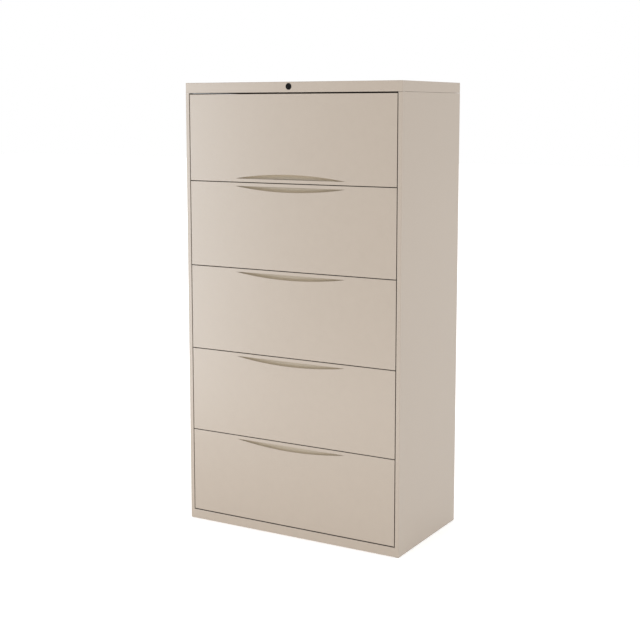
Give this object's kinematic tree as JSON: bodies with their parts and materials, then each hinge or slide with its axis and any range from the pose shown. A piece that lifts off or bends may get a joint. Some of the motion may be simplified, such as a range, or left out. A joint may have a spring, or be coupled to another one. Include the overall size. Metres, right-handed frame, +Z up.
{
  "type": "lateral filing cabinet",
  "caption": "Tall lateral filing cabinet with a flip-up receding door over a roll-out shelf, wide drawers on telescopic slides with arc pulls, and a top lock.",
  "frame": {"origin": "on the floor under the middle of the bounding box", "axes": "+Z up, -Y out of the drawer fronts, +X to the right of someone facing the fronts"},
  "size_m": [0.9144, 0.4906, 1.7018],
  "materials": {
    "putty_paint": "satin powder coat with a fine orange-peel",
    "zinc_steel": "zinc plated",
    "glide_steel": "dull zinc plated",
    "raw_steel": "dark mill scale",
    "black_lock": "semi-gloss black"
  },
  "bodies": {
    "cabinet": {"left_side_panel": "putty_paint", "right_side_panel": "putty_paint", "back_panel": "putty_paint", "top_cap": "putty_paint", "header_channel": "putty_paint", "base_rail": "putty_paint", "bottom_pan": "zinc_steel", "counterweight": "raw_steel", "compartment_floor": "putty_paint", "upright_front_left": "zinc_steel", "upright_front_right": "zinc_steel", "upright_rear_left": "zinc_steel", "upright_rear_right": "zinc_steel", "door_track_left": "zinc_steel", "door_track_right": "zinc_steel", "shelf_slide_left": "zinc_steel", "shelf_slide_right": "zinc_steel", "lock_housing": "black_lock", "drawer_1_slide_outer_left": "zinc_steel", "drawer_1_slide_outer_right": "zinc_steel", "drawer_2_slide_outer_left": "zinc_steel", "drawer_2_slide_outer_right": "zinc_steel", "drawer_3_slide_outer_left": "zinc_steel", "drawer_3_slide_outer_right": "zinc_steel", "drawer_4_slide_outer_left": "zinc_steel", "drawer_4_slide_outer_right": "zinc_steel"},
    "door_carriage": {"door_hinge_rod": "zinc_steel", "door_carrier_left": "zinc_steel", "door_carrier_right": "zinc_steel"},
    "flip_door": {"door_front": "putty_paint", "door_liner": "putty_paint"},
    "shelf": {"shelf": "putty_paint"},
    "drawer_1": {"drawer_1_front": "putty_paint", "drawer_1_tray": "putty_paint", "drawer_1_hang_rail": "putty_paint"},
    "drawer_1_slide_middles": {"drawer_1_slide_middle_left": "zinc_steel", "drawer_1_slide_middle_right": "zinc_steel"},
    "drawer_2": {"drawer_2_front": "putty_paint", "drawer_2_tray": "putty_paint", "drawer_2_hang_rail": "putty_paint"},
    "drawer_2_slide_middles": {"drawer_2_slide_middle_left": "zinc_steel", "drawer_2_slide_middle_right": "zinc_steel"},
    "drawer_3": {"drawer_3_front": "putty_paint", "drawer_3_tray": "putty_paint", "drawer_3_hang_rail": "putty_paint"},
    "drawer_3_slide_middles": {"drawer_3_slide_middle_left": "zinc_steel", "drawer_3_slide_middle_right": "zinc_steel"},
    "drawer_4": {"drawer_4_front": "putty_paint", "drawer_4_tray": "putty_paint", "drawer_4_hang_rail": "putty_paint"},
    "drawer_4_slide_middles": {"drawer_4_slide_middle_left": "zinc_steel", "drawer_4_slide_middle_right": "zinc_steel"},
    "lock_cylinder": {"lock_plug": "black_lock", "lock_cam": "zinc_steel"},
    "lock_bar": {"lock_link": "zinc_steel", "lock_bar": "zinc_steel"},
    "glide_front_left": {"glide_front_left": "glide_steel"},
    "glide_front_right": {"glide_front_right": "glide_steel"},
    "glide_rear_left": {"glide_rear_left": "glide_steel"},
    "glide_rear_right": {"glide_rear_right": "glide_steel"}
  },
  "joints": [
    {"name": "door_recede", "type": "slide", "parent": "cabinet", "child": "door_carriage", "axis": [0, 1, 0], "range_m": [0, 0.2646]},
    {"name": "flip_door_swing", "type": "hinge", "parent": "door_carriage", "child": "flip_door", "pos_m": [0, -0.21375, 1.6293], "axis": [-1, 0, 0], "range_deg": [0, 90]},
    {"name": "shelf_roll_out", "type": "slide", "parent": "cabinet", "child": "shelf", "axis": [0, -1, 0], "range_m": [0, 0.2901]},
    {"name": "drawer_1_slide", "type": "slide", "parent": "cabinet", "child": "drawer_1", "axis": [0, -1, 0], "range_m": [0, 0.38]},
    {"name": "drawer_1_middle_slide", "type": "slide", "parent": "cabinet", "child": "drawer_1_slide_middles", "axis": [0, -1, 0], "range_m": [0, 0.1901]},
    {"name": "drawer_2_slide", "type": "slide", "parent": "cabinet", "child": "drawer_2", "axis": [0, -1, 0], "range_m": [0, 0.38]},
    {"name": "drawer_2_middle_slide", "type": "slide", "parent": "cabinet", "child": "drawer_2_slide_middles", "axis": [0, -1, 0], "range_m": [0, 0.1901]},
    {"name": "drawer_3_slide", "type": "slide", "parent": "cabinet", "child": "drawer_3", "axis": [0, -1, 0], "range_m": [0, 0.38]},
    {"name": "drawer_3_middle_slide", "type": "slide", "parent": "cabinet", "child": "drawer_3_slide_middles", "axis": [0, -1, 0], "range_m": [0, 0.1901]},
    {"name": "drawer_4_slide", "type": "slide", "parent": "cabinet", "child": "drawer_4", "axis": [0, -1, 0], "range_m": [0, 0.38]},
    {"name": "drawer_4_middle_slide", "type": "slide", "parent": "cabinet", "child": "drawer_4_slide_middles", "axis": [0, -1, 0], "range_m": [0, 0.1901]},
    {"name": "lock_turn", "type": "hinge", "parent": "cabinet", "child": "lock_cylinder", "pos_m": [0, -0.24375, 1.6848], "axis": [0, 1, 0], "range_deg": [0, 90.1]},
    {"name": "lock_bar_slide", "type": "slide", "parent": "cabinet", "child": "lock_bar", "axis": [-1, 0, 0], "range_m": [0, 0.005]},
    {"name": "glide_front_left_level", "type": "slide", "parent": "cabinet", "child": "glide_front_left", "axis": [0, 0, -1], "range_m": [0, 0.012]},
    {"name": "glide_front_right_level", "type": "slide", "parent": "cabinet", "child": "glide_front_right", "axis": [0, 0, -1], "range_m": [0, 0.012]},
    {"name": "glide_rear_left_level", "type": "slide", "parent": "cabinet", "child": "glide_rear_left", "axis": [0, 0, -1], "range_m": [0, 0.012]},
    {"name": "glide_rear_right_level", "type": "slide", "parent": "cabinet", "child": "glide_rear_right", "axis": [0, 0, -1], "range_m": [0, 0.012]}
  ],
  "couplings": [
    {"joint": "door_recede", "follows": "flip_door_swing", "m_per_rad": 0.16832},
    {"joint": "shelf_roll_out", "follows": "flip_door_swing", "m_per_rad": 0.18462},
    {"joint": "drawer_1_middle_slide", "follows": "drawer_1_slide", "ratio": 0.5},
    {"joint": "drawer_2_middle_slide", "follows": "drawer_2_slide", "ratio": 0.5},
    {"joint": "drawer_3_middle_slide", "follows": "drawer_3_slide", "ratio": 0.5},
    {"joint": "drawer_4_middle_slide", "follows": "drawer_4_slide", "ratio": 0.5},
    {"joint": "lock_turn", "follows": "lock_bar_slide", "rad_per_m": 314.16}
  ]
}
